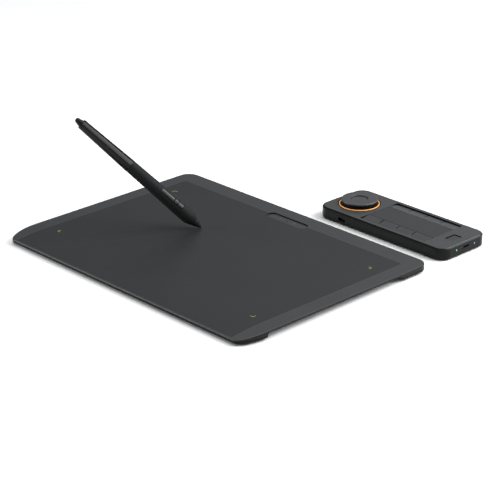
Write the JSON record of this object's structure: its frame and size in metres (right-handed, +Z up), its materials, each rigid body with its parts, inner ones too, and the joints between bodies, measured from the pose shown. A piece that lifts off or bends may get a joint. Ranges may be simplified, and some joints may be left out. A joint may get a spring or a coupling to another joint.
{
  "type": "pen drawing tablet",
  "caption": "Flat pen tablet with a dark drawing surface and a key bar, a button pen in its writing pose, and a small shortcut remote with a light-ringed dial, keys and a display window.",
  "frame": {"origin": "on the table, under the middle of the whole set's bounding box", "axes": "+X along the tablet's long side to its user's right, +Y away from the user, +Z up"},
  "size_m": [0.3198, 0.3137, 0.119],
  "materials": {
    "bezel": "fine-textured dark grey plastic",
    "casing": "fine-textured black plastic",
    "drawing_sheet": "very fine paper-like grain",
    "display_window": "smooth dark acrylic",
    "key_cap": "satin grey plastic",
    "black_plastic": "matte black plastic",
    "pen_rubber": "soft-touch black rubber",
    "foot_rubber": "black rubber",
    "corner_mark": "frosted olive light pipe",
    "light_ring": "frosted orange light ring",
    "green_lens": "clear green lens",
    "blue_lens": "clear blue lens",
    "circuit_board": "green solder mask",
    "battery_foil": "silver pouch foil",
    "shield": "thin bright sheet",
    "steel": "plain steel",
    "port_shell": "black nickel",
    "copper": "copper winding",
    "display_panel": "display glass"
  },
  "bodies": {
    "tablet": {"tablet_top_cover": "bezel", "tablet_bottom_cover": "casing", "tablet_drawing_surface": "drawing_sheet", "tablet_light_front_left": "corner_mark", "tablet_light_front_right": "corner_mark", "tablet_light_back_left": "corner_mark", "tablet_light_back_right": "corner_mark", "tablet_sensor_board": "circuit_board", "tablet_shield_plate": "shield", "tablet_main_board": "circuit_board", "tablet_battery": "battery_foil", "tablet_usb_port": "port_shell", "tablet_screw_front_left": "steel", "tablet_screw_front_right": "steel", "tablet_screw_back_left": "steel", "tablet_screw_back_right": "steel", "tablet_front_foot": "foot_rubber", "tablet_back_foot": "foot_rubber"},
    "tablet_left_key": {"tablet_left_key": "bezel"},
    "tablet_middle_key": {"tablet_middle_key": "bezel"},
    "tablet_right_key": {"tablet_right_key": "bezel"},
    "tablet_power_switch": {"tablet_power_switch": "casing"},
    "remote": {"remote_top_cover": "bezel", "remote_bottom_cover": "casing", "remote_display_window": "display_window", "remote_display_module": "display_panel", "remote_dial_light_ring": "light_ring", "remote_dial_collar": "black_plastic", "remote_dial_encoder": "black_plastic", "remote_main_board": "circuit_board", "remote_battery": "battery_foil", "remote_usb_port": "port_shell", "remote_green_light": "green_lens", "remote_blue_light": "blue_lens", "remote_front_foot": "foot_rubber", "remote_back_foot": "foot_rubber"},
    "remote_dial_knob": {"remote_dial_knob": "bezel"},
    "remote_dial_button": {"remote_dial_button": "bezel"},
    "remote_back_key_1": {"remote_back_key_1": "key_cap"},
    "remote_back_key_2": {"remote_back_key_2": "key_cap"},
    "remote_back_key_3": {"remote_back_key_3": "key_cap"},
    "remote_back_key_4": {"remote_back_key_4": "key_cap"},
    "remote_front_key_1": {"remote_front_key_1": "key_cap"},
    "remote_front_key_2": {"remote_front_key_2": "key_cap"},
    "remote_front_key_3": {"remote_front_key_3": "key_cap"},
    "remote_front_key_4": {"remote_front_key_4": "key_cap"},
    "remote_set_key": {"remote_set_key": "bezel"},
    "remote_power_switch": {"remote_power_switch": "black_plastic"},
    "pen": {"pen_barrel": "casing", "pen_grip": "pen_rubber", "pen_nose": "casing", "pen_coil": "copper", "pen_pressure_sensor": "steel", "pen_circuit_board": "circuit_board", "pen_eraser_sensor": "copper"},
    "pen_nib": {"pen_nib": "black_plastic"},
    "pen_front_button": {"pen_front_button": "key_cap"},
    "pen_middle_button": {"pen_middle_button": "key_cap"},
    "pen_rear_button": {"pen_rear_button": "key_cap"},
    "pen_eraser": {"pen_eraser": "pen_rubber"}
  },
  "joints": [
    {"name": "tablet_left_key_press", "type": "slide", "parent": "tablet", "child": "tablet_left_key", "axis": [0, 0, -1], "range_m": [0, 0.00045], "stiffness_N_per_m": 300},
    {"name": "tablet_middle_key_press", "type": "slide", "parent": "tablet", "child": "tablet_middle_key", "axis": [0, 0, -1], "range_m": [0, 0.00045], "stiffness_N_per_m": 300},
    {"name": "tablet_right_key_press", "type": "slide", "parent": "tablet", "child": "tablet_right_key", "axis": [0, 0, -1], "range_m": [0, 0.00045], "stiffness_N_per_m": 300},
    {"name": "tablet_power_slide", "type": "slide", "parent": "tablet", "child": "tablet_power_switch", "axis": [1, 0, 0], "range_m": [0, 0.0025]},
    {"name": "remote_lift", "type": "slide", "parent": "tablet", "child": "remote", "axis": [0, 0, 1], "range_m": [0, 0.13]},
    {"name": "remote_dial_turn", "type": "hinge", "parent": "remote", "child": "remote_dial_knob", "pos_m": [0.0248, 0.1259, 0.0172], "axis": [0, 0, 1], "continuous": true},
    {"name": "remote_dial_press", "type": "slide", "parent": "remote", "child": "remote_dial_button", "axis": [0, 0, -1], "range_m": [0, 0.0006], "stiffness_N_per_m": 300},
    {"name": "remote_back_key_1_press", "type": "slide", "parent": "remote", "child": "remote_back_key_1", "axis": [0, 0, -1], "range_m": [0, 0.0006], "stiffness_N_per_m": 300},
    {"name": "remote_back_key_2_press", "type": "slide", "parent": "remote", "child": "remote_back_key_2", "axis": [0, 0, -1], "range_m": [0, 0.0006], "stiffness_N_per_m": 300},
    {"name": "remote_back_key_3_press", "type": "slide", "parent": "remote", "child": "remote_back_key_3", "axis": [0, 0, -1], "range_m": [0, 0.0006], "stiffness_N_per_m": 300},
    {"name": "remote_back_key_4_press", "type": "slide", "parent": "remote", "child": "remote_back_key_4", "axis": [0, 0, -1], "range_m": [0, 0.0006], "stiffness_N_per_m": 300},
    {"name": "remote_front_key_1_press", "type": "slide", "parent": "remote", "child": "remote_front_key_1", "axis": [0, 0, -1], "range_m": [0, 0.0006], "stiffness_N_per_m": 300},
    {"name": "remote_front_key_2_press", "type": "slide", "parent": "remote", "child": "remote_front_key_2", "axis": [0, 0, -1], "range_m": [0, 0.0006], "stiffness_N_per_m": 300},
    {"name": "remote_front_key_3_press", "type": "slide", "parent": "remote", "child": "remote_front_key_3", "axis": [0, 0, -1], "range_m": [0, 0.0006], "stiffness_N_per_m": 300},
    {"name": "remote_front_key_4_press", "type": "slide", "parent": "remote", "child": "remote_front_key_4", "axis": [0, 0, -1], "range_m": [0, 0.0006], "stiffness_N_per_m": 300},
    {"name": "remote_set_key_press", "type": "slide", "parent": "remote", "child": "remote_set_key", "axis": [0, 0, -1], "range_m": [0, 0.0006], "stiffness_N_per_m": 300},
    {"name": "remote_power_slide", "type": "slide", "parent": "remote", "child": "remote_power_switch", "axis": [0, 1, 0], "range_m": [0, 0.008]},
    {"name": "pen_lift", "type": "slide", "parent": "tablet", "child": "pen", "axis": [0, 0, 1], "range_m": [0, 0.08]},
    {"name": "pen_nib_press", "type": "slide", "parent": "pen", "child": "pen_nib", "axis": [-0.4703, -0.5411, 0.6972], "range_m": [0, 0.001], "stiffness_N_per_m": 400},
    {"name": "pen_front_button_press", "type": "slide", "parent": "pen", "child": "pen_front_button", "axis": [-0.8645, 0.1239, -0.4871], "range_m": [0, 0.0004], "stiffness_N_per_m": 300},
    {"name": "pen_middle_button_press", "type": "slide", "parent": "pen", "child": "pen_middle_button", "axis": [-0.8645, 0.1239, -0.4871], "range_m": [0, 0.0004], "stiffness_N_per_m": 300},
    {"name": "pen_rear_button_press", "type": "slide", "parent": "pen", "child": "pen_rear_button", "axis": [-0.8645, 0.1239, -0.4871], "range_m": [0, 0.0004], "stiffness_N_per_m": 300},
    {"name": "pen_eraser_press", "type": "slide", "parent": "pen", "child": "pen_eraser", "axis": [0.4703, 0.5411, -0.6972], "range_m": [0, 0.0008], "stiffness_N_per_m": 400}
  ]
}
